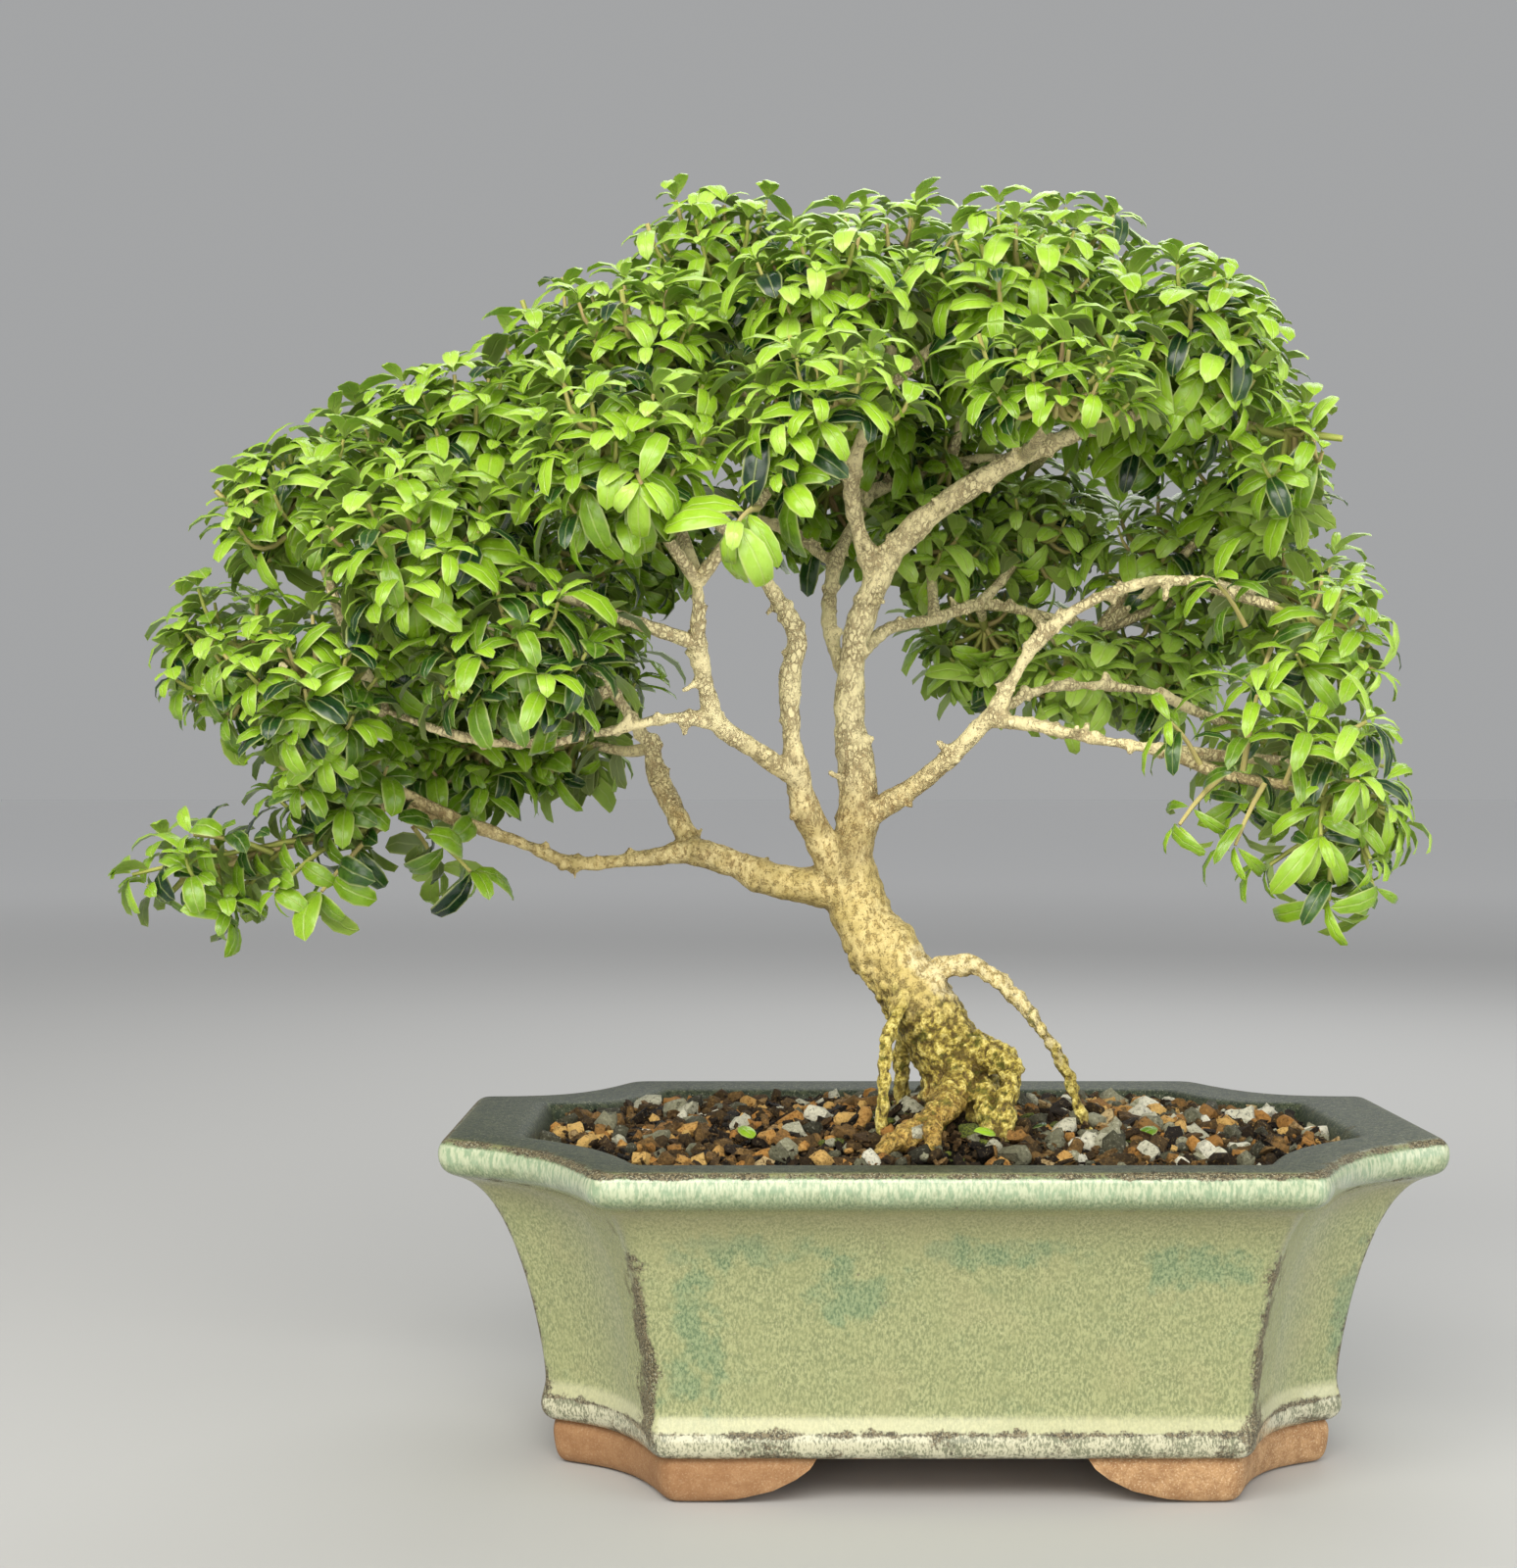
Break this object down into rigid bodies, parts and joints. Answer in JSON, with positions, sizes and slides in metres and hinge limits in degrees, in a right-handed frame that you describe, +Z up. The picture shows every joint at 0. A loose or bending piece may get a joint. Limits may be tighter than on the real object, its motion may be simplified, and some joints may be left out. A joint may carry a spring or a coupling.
{
  "type": "kingsville boxwood bonsai",
  "caption": "Small boxwood bonsai: a leaning trunk with exposed roots and a broad leafy crown, standing in a footed oblong glazed pot with indented corners.",
  "frame": {"origin": "on the surface that the pot stands on, under the middle of the whole bonsai's box", "axes": "+Z up, +X along the pot's length to the right as the crown is seen from its front, -Y towards that front"},
  "size_m": [0.2092, 0.125, 0.2],
  "materials": {
    "glaze": "gloss",
    "mesh_plastic": "satin",
    "soil": "matte",
    "bark": "matte",
    "foliage": "satin"
  },
  "bodies": {
    "root": {"pot": "glaze", "drain_screen_left": "mesh_plastic", "drain_screen_right": "mesh_plastic", "soil": "soil", "tree_wood": "bark", "spray_crown_left": "foliage", "spray_crown_slope": "foliage", "spray_crown_peak": "foliage", "spray_crown_top": "foliage", "spray_crown_top_right": "foliage", "spray_crown_right": "foliage", "spray_front_far_left": "foliage", "spray_front_left": "foliage", "spray_front_slope": "foliage", "spray_front_top": "foliage", "spray_front_top_right": "foliage", "spray_front_right": "foliage", "spray_front_far_right": "foliage", "spray_back_far_left": "foliage", "spray_back_slope": "foliage", "spray_back_top": "foliage", "spray_back_top_right": "foliage", "spray_back_right": "foliage", "spray_back_far_right": "foliage", "spray_brow_far_left": "foliage", "spray_brow_left": "foliage", "spray_brow_middle": "foliage", "spray_brow_right": "foliage", "spray_nape_far_left": "foliage", "spray_nape_middle": "foliage", "spray_nape_far_right": "foliage", "spray_right_high": "foliage", "spray_right_shoulder": "foliage", "spray_right_low": "foliage", "spray_right_side": "foliage", "spray_right_rear": "foliage", "spray_back_low": "foliage", "spray_back_low_right": "foliage", "spray_left_tip": "foliage", "spray_left_front": "foliage", "spray_left_brow": "foliage", "spray_left_middle": "foliage", "spray_left_back": "foliage", "spray_left_rear": "foliage", "spray_low_left": "foliage", "spray_low_left_tip": "foliage"}
  },
  "joints": []
}
